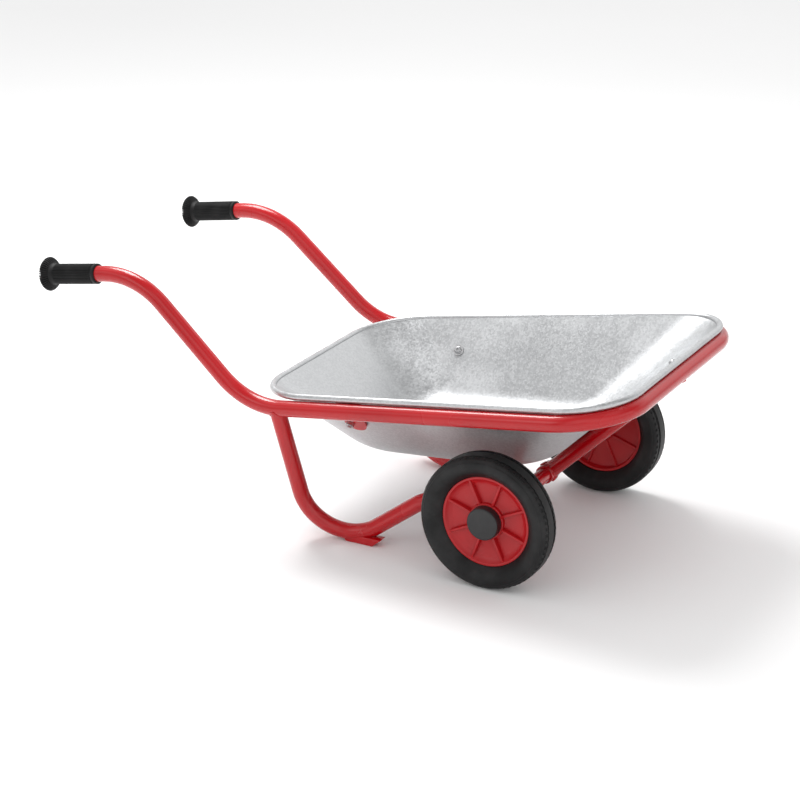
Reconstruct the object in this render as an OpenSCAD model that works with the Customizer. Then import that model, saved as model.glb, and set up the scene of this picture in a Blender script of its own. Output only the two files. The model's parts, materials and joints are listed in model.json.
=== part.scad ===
// Two-wheeled child's wheelbarrow: a galvanised tray on a bent tube frame.
// All lengths are millimetres. X points forward, Y to the left and Z up, from
// the floor under the middle of the barrow. Helpers below take side = 1 for
// the left and side = -1 for the right. They measure x from the axle, and
// in_place() moves what they draw to the origin.

/* [Wheels] */
// Outer diameter of the tyres
wheel_d = 180; // [150:1:220]
// Width of the tyres
tyre_w = 40; // [32:1:48]
// Distance between the middles of the two tyres
track = 360; // [340:1:420]
// Diameter of the rim where the tyre's bead meets it
rim_d = 121.4; // [100:0.1:130]
// Number of ribs on each face of a rim
rib_count = 8; // [5:1:12]
// Diameter of the hub cap
cap_d = 44; // [40:1:50]
// How far the hub cap stands out of the rim
cap_h = 10.7; // [10:0.1:14]
// Diameter of the axle rod
axle_d = 12; // [10:0.5:14]
// Outer diameter of the axle tube
axle_tube_d = 20; // [18:0.5:26]

/* [Frame] */
// Outer diameter of the handle, leg and stay tubes
tube_d = 22; // [18:0.5:26]
// Wall of those tubes
tube_wall = 1.5; // [1:0.1:3]
// Rise of the tray hoop and the grips toward the front, in degrees
frame_tilt = 8.7; // [5:0.1:12]
// Height of the hoop's centre line above the floor, over the axle
hoop_height = 234.4; // [215:1:270]
// Width of the hoop between centre lines, over the axle
hoop_w = 408.4; // [390:1:460]
// Outward run of each side of the hoop toward the front, in degrees
hoop_splay = 3.5; // [0:0.1:5]
// From the axle forward to the centre line of the hoop's front
hoop_front = 181.5; // [170:1:230]
// Bend radius of the hoop's two front corners
corner_r = 85; // [60:1:100]

/* [Handles] */
// Distance between the two grips
grip_span = 350; // [320:1:370]
// From the axle back to the bend where a handle leaves the hoop
handle_foot = 353.8; // [340:1:380]
// From the axle back to the bend under a grip
handle_top = 529.6; // [480:1:540]
// From the axle back to the end of a handle tube
handle_end = 672; // [640:1:760]
// Slope of a handle between its two bends, in degrees
handle_slope = 41.5; // [30:0.5:50]
// Bend radius of a handle
handle_r = 115; // [80:1:120]
// Length of a grip
grip_l = 84; // [70:1:110]
// Diameter of a grip's body
grip_d = 28; // [27:0.5:36]
// Diameter of the stop at a grip's outer end
grip_stop_d = 46.6; // [40:0.1:56]

/* [Legs] */
// From the axle back to the top of a leg
leg_top = 307.5; // [295:0.5:320]
// From the axle back to the middle of a foot
foot_back = 222; // [210:1:240]
// Distance between the middles of the two feet
foot_span = 286; // [270:1:296]
// Bend radius of a leg at the foot
foot_r = 67; // [55:1:70]
// Clearance between a leg's bend and the floor
foot_clear = 3; // [2:0.5:10]
// Rise of a leg ahead of the foot, in degrees
leg_rise = 36.5; // [32:0.5:38]
// From the axle back to the bend where a leg turns level
leg_knee = 115; // [105:1:125]
// Bend radius of a leg at the knee
knee_r = 50; // [40:1:60]
// Distance between the legs where they meet the axle tube
leg_end_span = 252; // [230:1:260]
// Width of a foot pad
pad_w = 17; // [12:1:20]

/* [Tray] */
// Sheet thickness of the tray
tray_t = 1.2; // [0.8:0.1:2]
// Diameter of the rolled bead round the rim
bead_d = 9; // [7:0.5:11]
// From the axle back to the outside of the bead
tray_back = 357; // [345:1:375]
// Height of the tray's floor above the ground, over the axle
tray_floor = 128; // [115:1:140]
// Rise of the tray's floor toward the front, in degrees
floor_tilt = 4.3; // [2:0.1:6]
// Length of the tray's flat floor
floor_l = 250; // [220:1:280]
// Width of the tray's floor
floor_w = 204; // [180:1:220]
// Radius of the tray's back corners at the rim
back_corner_r = 78; // [60:1:90]

/* [Fasteners] */
// Diameter of the screws that hold the tray
screw_d = 6; // [5:1:8]
// From the axle back to the side screws
side_screw_back = 214; // [190:1:230]
// Distance between the two front screws
front_screw_span = 172; // [140:1:190]
// How far each screw lies below the rim
screw_drop = 36; // [30:1:40]
// Thickness of the tabs that the screws pass through
tab_t = 3; // [2:0.5:4]
// Width of a tab
tab_w = 31; // [24:1:36]

/* [Hidden] */

red = [0.78, 0.04, 0.08];
rim_red = [0.76, 0.08, 0.10];
rubber = [0.08, 0.08, 0.09];
black = [0.10, 0.10, 0.11];
zinc = [0.72, 0.74, 0.76];
steel = [0.62, 0.63, 0.65];

left = 1;
right = -1;
fine = 96;
round_fn = 48;
run_fit = 0.075;
gap = 0.3;
cut = 1;
wheel_r = wheel_d / 2;
tube_r = tube_d / 2;
tilt_k = tan(frame_tilt);
splay_k = tan(hoop_splay);

// Frame lines
function hoop_z(x) = hoop_height + tilt_k * x;
function hoop_y(x) = hoop_w / 2 + splay_k * x;
handle_top_z = hoop_z(-handle_foot) + (handle_top - handle_foot) * tan(handle_slope);
function grip_z(x) = handle_top_z + tilt_k * (x + handle_top);
grip_dir = [cos(frame_tilt), 0, sin(frame_tilt)];

// The origin stands under the middle of the whole length
stop_bulge = 4;
rear_x = -handle_end - stop_bulge * cos(frame_tilt) - grip_stop_d / 2 * sin(frame_tilt);
front_x = hoop_front + tube_r;
mid_x = (front_x + rear_x) / 2;
module in_place() { translate([-mid_x, 0, 0]) children(); }

// Vectors
function unit(v) = v / norm(v);
function lerp(a, b, t) = a + (b - a) * t;
function turn(a, b) = acos(unit(a) * unit(b));
module along(a, dir) {
    u = unit(dir);
    translate(a) rotate([0, acos(u[2]), atan2(u[1], u[0])]) children();
}

// A bend of radius r at corner p, between the runs u (in) and v (out), carried on
// past its end where sweep is larger than the turn
module elbow(p, u, v, r, d, sweep = 0) {
    phi = turn(u, v);
    side_dir = unit(v - u * (u * v));
    c = p - u * r * tan(phi / 2) + side_dir * r;
    a = -side_dir;
    b = cross(a, u);
    multmatrix([[a[0], u[0], b[0], c[0]], [a[1], u[1], b[1], c[1]],
                [a[2], u[2], b[2], c[2]], [0, 0, 0, 1]])
        rotate_extrude(angle = max(phi, sweep), $fn = fine) translate([r, 0])
            circle(d = d, $fn = round_fn);
}

// A round bar along points p, with bend radii r at the inner points. A thin sleeve
// covers each joint between a straight run and a bend.
joint_l = 1.2;
joint_gap = 0.2;
joint_step = 0.4;
module bent_bar(p, r, d) {
    n = len(p) - 1;
    dirs = [for (i = [0:n - 1]) unit(p[i + 1] - p[i])];
    trim = [for (i = [0:n]) i == 0 || i == n ? 0
        : r[i - 1] * tan(turn(dirs[i - 1], dirs[i]) / 2) + joint_gap];
    for (i = [0:n - 1]) along(p[i] + dirs[i] * trim[i], dirs[i])
        cylinder(h = norm(p[i + 1] - p[i]) - trim[i] - trim[i + 1], d = d, $fn = round_fn);
    for (i = [1:1:n - 1]) {
        elbow(p[i], dirs[i - 1], dirs[i], r[i - 1], d);
        for (end = [-dirs[i - 1], dirs[i]]) along(p[i] + end * (trim[i] - joint_gap), end)
            translate([0, 0, -joint_l / 2]) cylinder(h = joint_l, d = d + joint_step, $fn = round_fn);
    }
}

// The same run with both ends drawn out, for the inside of a tube
function drawn_out(p, by) = let (n = len(p) - 1) [for (i = [0:n])
    i == 0 ? p[0] + unit(p[0] - p[1]) * by :
    i == n ? p[n] + unit(p[n] - p[n - 1]) * by : p[i]];
module bent_tube(p, r, d, wall) {
    difference() {
        bent_bar(p, r, d);
        bent_bar(drawn_out(p, cut), r, d - 2 * wall);
    }
}

// Frame hoop: one tube from grip to grip
function hoop_side(side) = [
    [-handle_end, side * grip_span / 2, grip_z(-handle_end)],
    [-handle_top, side * grip_span / 2, handle_top_z],
    [-handle_foot, side * hoop_y(-handle_foot), hoop_z(-handle_foot)],
    [hoop_front, side * hoop_y(hoop_front), hoop_z(hoop_front)]];
hoop_path = concat(hoop_side(right), [for (i = [3:-1:0]) hoop_side(left)[i]]);
hoop_radii = [handle_r, handle_r, corner_r, corner_r, handle_r, handle_r];
module frame_hoop() {
    color(red) in_place() bent_tube(hoop_path, hoop_radii, tube_d, tube_wall);
}
// A stretch of the hoop's side and of its front, used to shape what is welded to them
module hoop_side_bar(side) {
    a = hoop_side(side)[2];
    b = hoop_side(side)[3];
    along(a, b - a) cylinder(h = norm(b - a), d = tube_d, $fn = round_fn);
}
module hoop_front_bar() {
    along([hoop_front, -hoop_w / 2, hoop_z(hoop_front)], [0, 1, 0])
        cylinder(h = hoop_w, d = tube_d, $fn = round_fn);
}

// Legs: down from the hoop, round the foot, up to the knee and level to the axle tube
foot_bottom = foot_clear + tube_r;
foot_up = hoop_z(-leg_top) - foot_bottom - foot_r;
leg_lean = atan2(leg_top - foot_back, foot_up) - asin(foot_r / norm([leg_top - foot_back, foot_up]));
// The corner that the foot bend rounds off lies behind and below the bend
corner_out = foot_r / cos((90 - leg_lean + leg_rise) / 2);
corner_dir = (leg_lean - 90 + leg_rise) / 2 - 90;
foot_corner_x = -foot_back + corner_out * cos(corner_dir);
foot_corner_z = foot_bottom + foot_r + corner_out * sin(corner_dir);
knee_z = foot_corner_z + (-leg_knee - foot_corner_x) * tan(leg_rise);
knee_part = 1 + leg_knee / foot_corner_x;
leg_end_drop = 2;
function leg_path(side) = [
    [-leg_top, side * hoop_y(-leg_top), hoop_z(-leg_top)],
    [foot_corner_x, side * foot_span / 2, foot_corner_z],
    [-leg_knee, side * lerp(foot_span, leg_end_span, knee_part) / 2, knee_z],
    [0, side * leg_end_span / 2, wheel_r - leg_end_drop]];
module axle_tube_bar() {
    translate([0, 0, wheel_r]) rotate([90, 0, 0])
        cylinder(h = track, d = axle_tube_d, center = true, $fn = round_fn);
}
module leg(side) {
    color(red) in_place() difference() {
        bent_tube(leg_path(side), [foot_r, knee_r], tube_d, tube_wall);
        hoop_side_bar(side);
        axle_tube_bar();
    }
}
module left_leg() leg(left);
module right_leg() leg(right);

// Foot pads: a wedge-ended block under each foot bend, flat on the floor and welded to it
pad_flat = 40;
pad_lead = 16;
pad_front = 13;
pad_back = 8;
pad_heel = 6;
pad_toe = 13;
pad_in = 1.5;
module foot_pad(side) {
    x0 = -foot_back + pad_lead - pad_flat / 2;
    x1 = x0 + pad_flat;
    top = foot_bottom + 2;
    path = leg_path(side);
    color(red) in_place() difference() {
        translate([0, side * (foot_span / 2 - pad_in) + pad_w / 2, 0]) rotate([90, 0, 0])
            linear_extrude(pad_w) polygon([[x0, 0], [x1, 0], [x1 + pad_front, pad_toe],
                [x1 + pad_front, top + pad_heel], [x0 - pad_back, top], [x0 - pad_back, pad_heel]]);
        elbow(path[1], unit(path[1] - path[0]), unit(path[2] - path[1]), foot_r, tube_d, 360);
    }
}
module left_foot_pad() foot_pad(left);
module right_foot_pad() foot_pad(right);

// Axle: a rod held in the axle tube, with a wheel turning on each end
hub_in = tyre_w / 2 + 2;
hub_out = 8;
bush_flange = 1.5;
washer_t = 1.5;
clip_t = 2.2;
axle_tube_end = track / 2 - hub_in - bush_flange - washer_t - 2 * gap;
rod_end = track / 2 + hub_out + bush_flange + washer_t + clip_t + 1.5;
module axle_tube() {
    color(red) in_place() translate([0, 0, wheel_r]) rotate([90, 0, 0]) difference() {
        cylinder(h = 2 * axle_tube_end, d = axle_tube_d, center = true, $fn = round_fn);
        cylinder(h = 2 * axle_tube_end + 2 * cut, d = axle_d, center = true, $fn = round_fn);
    }
}
module axle_rod() {
    chamfer = 1;
    color(steel) in_place() translate([0, 0, wheel_r]) rotate([90, 0, 0]) {
        cylinder(h = 2 * (rod_end - chamfer), d = axle_d, center = true, $fn = round_fn);
        for (m = [0, 1]) mirror([0, 0, m]) translate([0, 0, rod_end - chamfer])
            cylinder(h = chamfer, d1 = axle_d, d2 = axle_d - 2 * chamfer, $fn = round_fn);
    }
}

// Front stay: from a collar on the axle tube up to the middle of the hoop's front
collar_t = 2.5;
collar_d = axle_tube_d + 2 * collar_t;
collar_w = 26;
stay_rise = atan2(hoop_z(hoop_front) - wheel_r, hoop_front);
module front_stay() {
    color(red) in_place() difference() {
        bent_tube([[0, 0, wheel_r], [hoop_front, 0, hoop_z(hoop_front)]], [], tube_d, tube_wall);
        translate([0, 0, wheel_r]) rotate([90, 0, 0])
            cylinder(h = 2 * collar_w, d = collar_d, center = true, $fn = round_fn);
        hoop_front_bar();
    }
}
// The collar: a sleeve with a small ear above and below the stay and a screw at the back
ear_d = 11;
ear_h = 2.4;
ear_angle = 80;
collar_screw_d = 5;
collar_head_d = 9;
collar_head_h = 3;
collar_key = 4;
module on_axle() { translate([0, 0, wheel_r]) rotate([90, 0, 0]) children(); }
module on_collar(angle, r) { rotate([0, 0, angle]) translate([r, 0, 0]) rotate([0, 90, 0]) children(); }
module stay_collar() {
    color(red) in_place() on_axle() difference() {
        union() {
            cylinder(h = collar_w, d = collar_d, center = true, $fn = round_fn);
            for (a = [-1, 1]) on_collar(stay_rise + a * ear_angle, axle_tube_d / 2 + cut)
                cylinder(h = collar_t + ear_h - cut, d = ear_d, $fn = round_fn);
        }
        cylinder(h = collar_w + 2 * cut, d = axle_tube_d, center = true, $fn = round_fn);
        on_collar(stay_rise + 180, 0) cylinder(h = collar_d, d = collar_screw_d, $fn = round_fn);
    }
}
module collar_screw() {
    color(steel) in_place() on_axle() on_collar(stay_rise + 180, axle_tube_d / 2) difference() {
        union() {
            cylinder(h = collar_t + gap, d = collar_screw_d, $fn = round_fn);
            translate([0, 0, collar_t + gap])
                cylinder(h = collar_head_h, d = collar_head_d, $fn = round_fn);
        }
        translate([0, 0, collar_t + collar_head_h / 2])
            cylinder(h = collar_head_h, d = collar_key, $fn = 6);
    }
}

// Tray outlines: the rim follows the hoop and the floor is a smaller rounded shape
bead_r = bead_d / 2;
bead_in = 3.5;
bead_up = sqrt(pow(tube_r + joint_step / 2 + bead_r + gap, 2) - pow(bead_in, 2));
rim_in = bead_in + bead_r;
floor_k = tan(floor_tilt);
floor_taper = 6;
floor_corner_r = 50;
corner_steps = 14;
function rim_z(x) = hoop_z(x) + bead_up / cos(frame_tilt);
function floor_z(x) = tray_floor + floor_k * x;
function rim_half(x) = hoop_y(x) - rim_in;
// The straight part of a wall, as shares of the way in and down from rim to floor
wall_in = 0.74;
wall_drop = 0.78;
// The floor's front edge, such that the front wall passes just above the front stay
stay_off = tube_r + tray_t + gap;
rim_front = hoop_front - rim_in;
floor_front = ((lerp(rim_z(rim_front), tray_floor, wall_drop) - wheel_r) * cos(stay_rise)
    - (1 - wall_in) * rim_front * sin(stay_rise) - stay_off)
    / (wall_in * sin(stay_rise) - wall_drop * floor_k * cos(stay_rise));
front_r = corner_r - rim_in;
rim_front_x = rim_front - front_r;
rim_back_x = -tray_back + bead_d + back_corner_r;
// Points round a corner, each with the direction that it faces
function arc(cx, cy, r, a0, a1) = [for (i = [0:corner_steps])
    let (a = lerp(a0, a1, i / corner_steps)) [cx + r * cos(a), cy + r * sin(a), a]];
// An outline from its front and back corner centres, front-left corner first
side_steps = 8;
function between(a, b) = [for (i = [1:side_steps - 1]) lerp(a, b, i / side_steps)];
function outline(xf, yf, rf, xb, yb, rb) = let (
    fl = arc(xf, yf - rf, rf, 0, 90 + hoop_splay), bl = arc(xb, yb - rb, rb, 90 + hoop_splay, 180),
    br = arc(xb, rb - yb, rb, 180, 270 - hoop_splay), fr = arc(xf, rf - yf, rf, 270 - hoop_splay, 360))
    concat(fl, between(fl[corner_steps], bl[0]), bl, br, between(br[corner_steps], fr[0]), fr);
rim_line = outline(rim_front_x, rim_half(rim_front_x), front_r,
    rim_back_x, rim_half(rim_back_x), back_corner_r);
floor_line = outline(floor_front - floor_corner_r, floor_w / 2, floor_corner_r,
    floor_front - floor_l + floor_corner_r, floor_w / 2 - floor_taper, floor_corner_r);
floor_mid = [floor_front - floor_l / 2, 0];

// Profile from rim to floor, as [inset, drop, wall slope]: a straight wall and a rounded foot
wall_slope = 52;
foot_in = 1.3;
foot_steps = 7;
function bez(a, b, c, t) = (1 - t) * (1 - t) * a + 2 * t * (1 - t) * b + t * t * c;
profile = concat(
    [for (t = [0:0.25:0.99]) [wall_in * t, wall_drop * t, wall_slope]],
    [for (i = [0:foot_steps]) let (t = i / foot_steps)
        [bez(wall_in, 0.95, foot_in, t), bez(wall_drop, 1, 1, t), wall_slope * (1 - t)]],
    [[1.6, 1, 0], [1.85, 1, 0]]);
// The point of profile entry q at outline place i, moved t out of the wall
function tray_point(q, i, t) = let (
    r = rim_line[i], f = floor_line[i], s = q[0],
    flat = s <= 1 ? lerp([r[0], r[1]], [f[0], f[1]], s) : lerp([f[0], f[1]], floor_mid, s - 1),
    n = [cos(r[2]), sin(r[2])],
    low = floor_z(s <= 1 ? f[0] : flat[0]))
    [flat[0] + n[0] * t * sin(q[2]), flat[1] + n[1] * t * sin(q[2]),
     lerp(rim_z(r[0]), low, q[1]) - t * cos(q[2])];
function bead_point(i, a) = let (r = rim_line[i], out = bead_r + bead_r * cos(a))
    [r[0] + cos(r[2]) * out, r[1] + sin(r[2]) * out,
     rim_z(r[0] + cos(r[2]) * bead_r) + bead_r * sin(a)];
places = len(rim_line);
tray_rings = concat(
    [for (k = [len(profile) - 1:-1:0]) [for (i = [0:places - 1]) tray_point(profile[k], i, 0)]],
    [for (a = [150:-30:-150]) [for (i = [0:places - 1]) bead_point(i, a)]],
    [for (k = [1:len(profile) - 1]) [for (i = [0:places - 1]) tray_point(profile[k], i, tray_t)]]);
module tray_shell() {
    rings = len(tray_rings);
    last = rings * places;
    top = [floor_mid[0], 0, floor_z(floor_mid[0])];
    sides = [for (k = [0:rings - 2], i = [0:places - 1]) let (j = (i + 1) % places)
        each [[k * places + i, k * places + j, (k + 1) * places + j],
              [k * places + i, (k + 1) * places + j, (k + 1) * places + i]]];
    caps = [for (i = [0:places - 1]) let (j = (i + 1) % places)
        each [[last, j, i], [last + 1, (rings - 1) * places + i, (rings - 1) * places + j]]];
    polyhedron(concat([for (r = tray_rings) each r], [top, top - [0, 0, tray_t]]), concat(sides, caps));
}

// Screw places on the tray's walls: [inner point, outward direction, wall slope].
// r and f are the rim and floor points above and below, r_run and f_run the ways along each line
function wall_place(r, f, r_run, f_run) = let (
    depth = rim_z(r[0]) - floor_z(f[0]),
    drop = screw_drop / depth,
    inset = drop * wall_in / wall_drop,
    at = lerp(r, f, inset),
    along_wall = lerp([r_run[0], r_run[1], tilt_k * r_run[0]], [f_run[0], f_run[1], floor_k * f_run[0]],
        drop),
    down_wall = [(f[0] - r[0]) * wall_in, (f[1] - r[1]) * wall_in, -depth * wall_drop],
    normal = unit(cross(down_wall, along_wall)),
    out = normal[2] > 0 ? -normal : normal)
    [[at[0], at[1], rim_z(r[0]) - screw_drop], out, acos(-out[2])];
rim_side = [rim_line[corner_steps], rim_line[corner_steps + side_steps]];
floor_side = [floor_line[corner_steps], floor_line[corner_steps + side_steps]];
screw_inset = screw_drop / (rim_z(-side_screw_back) - floor_z(-side_screw_back)) * wall_in / wall_drop;
function side_share(x) = let (
    a = lerp(rim_side[0][0], floor_side[0][0], screw_inset),
    b = lerp(rim_side[1][0], floor_side[1][0], screw_inset))
    (x - a) / (b - a);
function mirrored(p, side) = [p[0], side * p[1]];
function side_screw(side) = let (t = side_share(-side_screw_back)) wall_place(
    mirrored(lerp(rim_side[0], rim_side[1], t), side),
    mirrored(lerp(floor_side[0], floor_side[1], t), side),
    mirrored(rim_side[1] - rim_side[0], side), mirrored(floor_side[1] - floor_side[0], side));
front_y = front_screw_span / 2;
function front_screw(side) = wall_place([rim_front, side * front_y],
    [floor_front, side * front_y], [0, 1], [0, 1]);
screws = [side_screw(left), side_screw(right), front_screw(left), front_screw(right)];
screw_play = 0.25;
seat_gap = 0.06;
screw_hole = screw_d / 2 + screw_play;
hole_depth = 4;
module at_screw(s) { along(s[0], s[1]) children(); }

module tray() {
    color(zinc) in_place() difference() {
        tray_shell();
        for (s = screws) at_screw(s)
            translate([0, 0, -hole_depth]) cylinder(h = 2 * hole_depth, r = screw_hole, $fn = round_fn);
    }
}

// Tabs: plates welded under the hoop, beside the outside of the tray wall
weld_bite = 1;
tab_short = 3;
function tab_off(s) = rim_in * sin(s[2]) + bead_up * cos(s[2]) - tube_r + weld_bite - tab_t;
module tab(s, shift) {
    reach = screw_drop / sin(s[2]) - tab_short;
    color(red) in_place() difference() {
        at_screw(s) translate([0, shift, tab_off(s)]) linear_extrude(tab_t) {
            circle(d = tab_w, $fn = round_fn);
            translate([-reach, -tab_w / 2]) square([reach, tab_w]);
        }
        children();
        at_screw(s) cylinder(h = tab_off(s) + tab_t + cut, r = screw_hole, $fn = round_fn);
    }
}
side_shift = 7;
module left_side_tab() tab(side_screw(left), -side_shift) hoop_side_bar(left);
module right_side_tab() tab(side_screw(right), side_shift) hoop_side_bar(right);
module left_front_tab() tab(front_screw(left), 0) hoop_front_bar();
module right_front_tab() tab(front_screw(right), 0) hoop_front_bar();

// Tray screws: a button head and washer inside the tray, a nut under the tab
big_washer_d = 16;
big_washer_t = 1.2;
head_d = 10.5;
head_rim_h = 1.3;
head_dome_h = 2;
key_d = 4.6;
nut_af = 10;
nut_h = 5;
thread_over = 2.5;
module tray_screws() {
    color(steel) in_place() for (s = screws) at_screw(s)
        translate([0, 0, -seat_gap - big_washer_t]) difference() {
        union() {
            cylinder(h = seat_gap + big_washer_t + tab_off(s) + tab_t + nut_h + thread_over,
                d = screw_d, $fn = round_fn);
            translate([0, 0, -head_rim_h]) cylinder(h = head_rim_h, d = head_d, $fn = round_fn);
            translate([0, 0, -head_rim_h - head_dome_h])
                cylinder(h = head_dome_h, d1 = head_d * 0.7, d2 = head_d, $fn = round_fn);
        }
        translate([0, 0, -head_rim_h - head_dome_h - cut])
            cylinder(h = head_dome_h + cut, d = key_d, $fn = 6);
    }
}
module ring(r_out, r_in, h) {
    difference() {
        cylinder(h = h, r = r_out, $fn = round_fn);
        translate([0, 0, -cut]) cylinder(h = h + 2 * cut, r = r_in, $fn = round_fn);
    }
}
module tray_washers() {
    color(steel) in_place() for (s = screws) at_screw(s)
        translate([0, 0, -seat_gap - big_washer_t]) ring(big_washer_d / 2, screw_d / 2, big_washer_t);
}
module tray_nuts() {
    color(steel) in_place() for (s = screws) at_screw(s) translate([0, 0, tab_off(s) + tab_t])
        difference() {
            cylinder(h = nut_h, d = nut_af / cos(30), $fn = 6);
            translate([0, 0, -cut]) cylinder(h = nut_h + 2 * cut, d = screw_d, $fn = round_fn);
        }
}

// Grips: a ribbed rubber sleeve closed by a wide stop at its end
grip_depth = grip_l - 3;
stop_dome = 3;
stop_round = 2;
stop_t = 5;
stop_cone = 7;
grip_lip = 1;
module grip(side) {
    start = [-handle_end, side * grip_span / 2, grip_z(-handle_end)];
    color(rubber) in_place() along(start, grip_dir) rotate_extrude($fn = fine) polygon([
        [0, -stop_bulge - stop_dome], [grip_stop_d / 2 - 3 * stop_round, -stop_bulge - stop_round],
        [grip_stop_d / 2 - stop_round, -stop_bulge], [grip_stop_d / 2, -stop_bulge + stop_round],
        [grip_stop_d / 2 - grip_lip, -stop_bulge + stop_t],
        [grip_d / 2, -stop_bulge + stop_t + stop_cone], [grip_d / 2, grip_depth - 2 * grip_lip],
        [grip_d / 2 - grip_lip, grip_depth], [tube_r, grip_depth], [tube_r, 0], [0, 0]]);
}
module left_grip() grip(left);
module right_grip() grip(right);

// Wheels: everything here is drawn round the wheel's own axis, z pointing outward
rim_r = rim_d / 2;
rim_edge = 8;
bead_seat = 2.2;
barrel_t = 3.5;
hub_r = 16;
bush_r = 8;
seat_r = rim_r - bead_seat;
web_t = 3;
rib_t = 3;
rib_root = 1;
boss_h = 6.5;
cap_r = cap_d / 2;
boss_r = cap_r + 2;
lip_t = 1.5;
lip_z = rim_edge - lip_t;
seat_z = lip_z - bead_seat / 2;
module at_wheel(side) {
    in_place() translate([0, side * track / 2, wheel_r]) rotate([-90 * side, 0, 0]) children();
}
module rim_shape() {
    barrel_r = seat_r - barrel_t;
    rotate_extrude($fn = fine) polygon([
        [bush_r, -hub_in], [hub_r, -hub_in], [hub_r, -web_t / 2], [barrel_r, -web_t / 2],
        [barrel_r, -rim_edge], [rim_r, -rim_edge], [rim_r, -lip_z], [seat_r, -seat_z],
        [seat_r, seat_z], [rim_r, lip_z], [rim_r, rim_edge], [barrel_r, rim_edge],
        [barrel_r, web_t / 2], [boss_r, web_t / 2], [boss_r, boss_h], [hub_r, boss_h],
        [hub_r, hub_out], [bush_r, hub_out]]);
    for (i = [0:rib_count - 1]) rotate([0, 0, i * 360 / rib_count]) {
        translate([boss_r - rib_root, -rib_t / 2, 0])
            cube([barrel_r - boss_r + 2 * rib_root, rib_t, boss_h]);
        translate([hub_r - rib_root, -rib_t / 2, -boss_h])
            cube([barrel_r - hub_r + 2 * rib_root, rib_t, boss_h]);
    }
}
module left_rim() { color(rim_red) at_wheel(left) rim_shape(); }
module right_rim() { color(rim_red) at_wheel(right) rim_shape(); }

// Tyre: bead between the rim's edges, bulging sidewalls and one groove in the tread
groove_depth = 3;
groove_half = 1;
module tyre_shape() {
    w = tyre_w / 2;
    lip = rim_edge + gap;
    wall = wheel_r - rim_r;
    groove_y = w * 0.4;
    // One side from the bead to the crown: [height above the bead, distance from the middle]
    flank = [[gap, lip], [wall * 0.17, lip + 3], [wall * 0.37, w - 2], [wall * 0.52, w],
        [wall * 0.8, w - 1], [wall * 0.91, w - 5], [wall * 0.97, w - 10], [wall, w * 0.4 + groove_half]];
    last = len(flank) - 1;
    rotate_extrude($fn = 2 * fine) polygon(concat(
        [[seat_r, -seat_z], [rim_r, -lip_z]],
        [for (i = [0:last]) [rim_r + flank[i][0], -flank[i][1]]],
        [[wheel_r - groove_depth, -groove_y], [wheel_r, -groove_y + groove_half]],
        [for (i = [last:-1:0]) [rim_r + flank[i][0], flank[i][1]]],
        [[rim_r, lip_z], [seat_r, seat_z]]));
}
module left_tyre() { color(rubber) at_wheel(left) tyre_shape(); }
module right_tyre() { color(rubber) at_wheel(right) tyre_shape(); }

// Flanged bushes, one pressed into each end of a hub
bush_l = 14;
bush_flange_r = 11;
module bush() {
    difference() {
        union() {
            cylinder(h = bush_l, r = bush_r, $fn = round_fn);
            translate([0, 0, -bush_flange]) cylinder(h = bush_flange, r = bush_flange_r, $fn = round_fn);
        }
        translate([0, 0, -bush_flange - cut])
            cylinder(h = bush_l + bush_flange + 2 * cut, r = axle_d / 2 + run_fit, $fn = round_fn);
    }
}
module inner_bush(side) { color(black) at_wheel(side) translate([0, 0, -hub_in]) bush(); }
module outer_bush(side) {
    color(black) at_wheel(side) translate([0, 0, hub_out]) mirror([0, 0, 1]) bush();
}
module left_inner_bush() inner_bush(left);
module right_inner_bush() inner_bush(right);
module left_outer_bush() outer_bush(left);
module right_outer_bush() outer_bush(right);

// Washers each side of a hub, and the spring clip pushed on the rod's end
washer_r = 12;
module washer(side, z) {
    color(steel) at_wheel(side) translate([0, 0, z]) ring(washer_r, axle_d / 2, washer_t);
}
inner_washer_z = -hub_in - bush_flange - washer_t - gap;
outer_washer_z = hub_out + bush_flange + gap;
module left_inner_washer() washer(left, inner_washer_z);
module right_inner_washer() washer(right, inner_washer_z);
module left_outer_washer() washer(left, outer_washer_z);
module right_outer_washer() washer(right, outer_washer_z);
clip_r = 11;
clip_sheet = 0.8;
clip_dish_r = 8;
module axle_clip(side) {
    color(steel) at_wheel(side) translate([0, 0, outer_washer_z + washer_t])
        rotate_extrude($fn = round_fn) polygon([[axle_d / 2, clip_sheet], [axle_d / 2, 2 * clip_sheet],
            [clip_dish_r, clip_sheet], [clip_r - clip_sheet, clip_sheet], [clip_r - clip_sheet, clip_t],
            [clip_r, clip_t], [clip_r, 0], [clip_dish_r, 0]]);
}
module left_axle_clip() axle_clip(left);
module right_axle_clip() axle_clip(right);

// Hub cap: a cup that clips over the hub, its edge standing on the boss
cap_wall = 2;
cap_edge = 2.5;
cap_foot = 1;
module hub_cap(side) {
    top = rim_edge + cap_h;
    inside = cap_r - cap_wall;
    color(black) at_wheel(side) rotate_extrude($fn = fine) polygon([
        [0, top], [cap_r - cap_edge, top], [cap_r, top - cap_edge], [cap_r, boss_h],
        [hub_r, boss_h], [hub_r, boss_h + cap_foot], [inside, boss_h + cap_foot],
        [inside, top - cap_wall], [0, top - cap_wall]]);
}
module left_hub_cap() hub_cap(left);
module right_hub_cap() hub_cap(right);

tray();
frame_hoop();
left_leg();
right_leg();
left_foot_pad();
right_foot_pad();
axle_tube();
axle_rod();
front_stay();
stay_collar();
collar_screw();
left_side_tab();
right_side_tab();
left_front_tab();
right_front_tab();
tray_screws();
tray_washers();
tray_nuts();
left_grip();
right_grip();
left_tyre();
right_tyre();
left_rim();
right_rim();
left_inner_bush();
right_inner_bush();
left_outer_bush();
right_outer_bush();
left_inner_washer();
right_inner_washer();
left_outer_washer();
right_outer_washer();
left_axle_clip();
right_axle_clip();
left_hub_cap();
right_hub_cap();
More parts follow.
